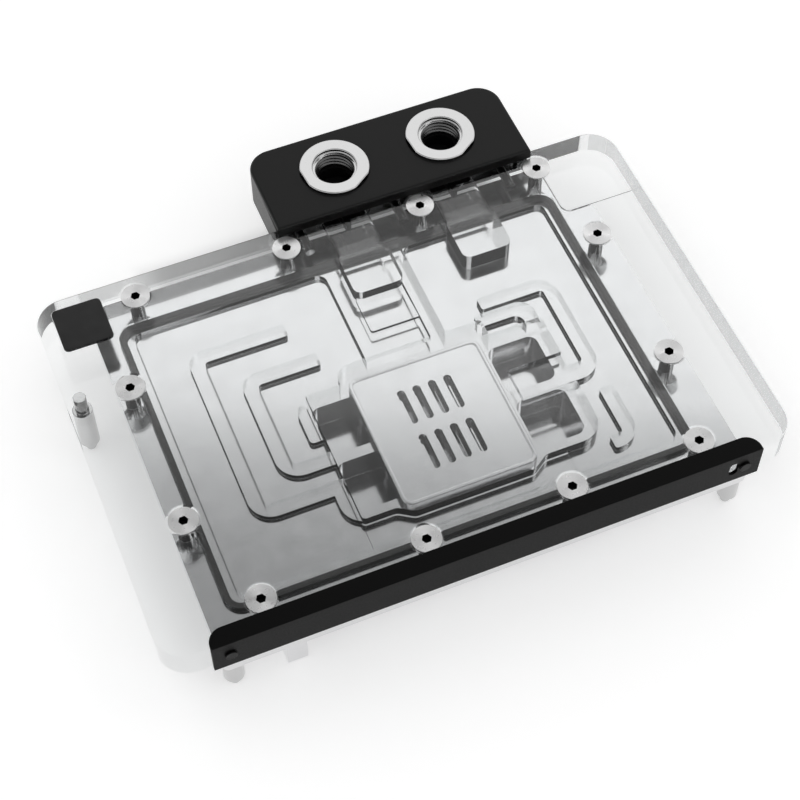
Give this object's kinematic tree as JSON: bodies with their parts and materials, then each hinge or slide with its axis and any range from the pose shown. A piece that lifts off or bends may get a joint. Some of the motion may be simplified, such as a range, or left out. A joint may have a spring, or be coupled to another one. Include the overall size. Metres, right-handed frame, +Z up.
{
  "type": "graphics card water block",
  "caption": "Flat liquid cooling block: clear milled cover on a plated copper plate, with a black two-port terminal block, trim strip and standoffs.",
  "frame": {"origin": "middle of the flat contact face on the underside that sits on the graphics chip", "axes": "+X along the block's length, towards its right end; +Y towards the terminal block; +Z up out of the cover, towards the ports"},
  "size_m": [0.186, 0.1535, 0.0338],
  "materials": {
    "clear_acrylic": "polished clear",
    "plated_copper": "satin nickel plate",
    "plated_brass": "bright nickel plate",
    "steel_screw": "turned stainless",
    "black_screw": "black oxide",
    "black_acetal": "matte moulded",
    "black_coated_aluminium": "satin black",
    "black_gloss_tile": "satin black",
    "light_strip_tape": "white tape",
    "seal_rubber": "smooth black"
  },
  "bodies": {
    "root": {"cover_plate": "clear_acrylic", "cold_plate": "plated_copper", "jet_plate": "plated_copper", "main_seal": "seal_rubber", "duct_seal_left": "seal_rubber", "duct_seal_right": "seal_rubber", "terminal_block": "black_acetal", "port_insert_left": "plated_brass", "port_insert_right": "plated_brass", "front_trim": "black_coated_aluminium", "light_strip": "light_strip_tape", "badge_tile": "black_gloss_tile", "standoff_rim": "plated_brass", "standoff_front_left": "plated_brass", "standoff_front_right": "plated_brass", "standoff_back_left": "plated_brass", "standoff_back_right": "plated_brass", "chip_standoff_front_left": "plated_brass", "chip_standoff_front_right": "plated_brass", "chip_standoff_back_left": "plated_brass", "chip_standoff_back_right": "plated_brass", "cover_screws": "steel_screw", "clamp_screws": "black_screw", "trim_screws": "black_screw"}
  },
  "joints": []
}
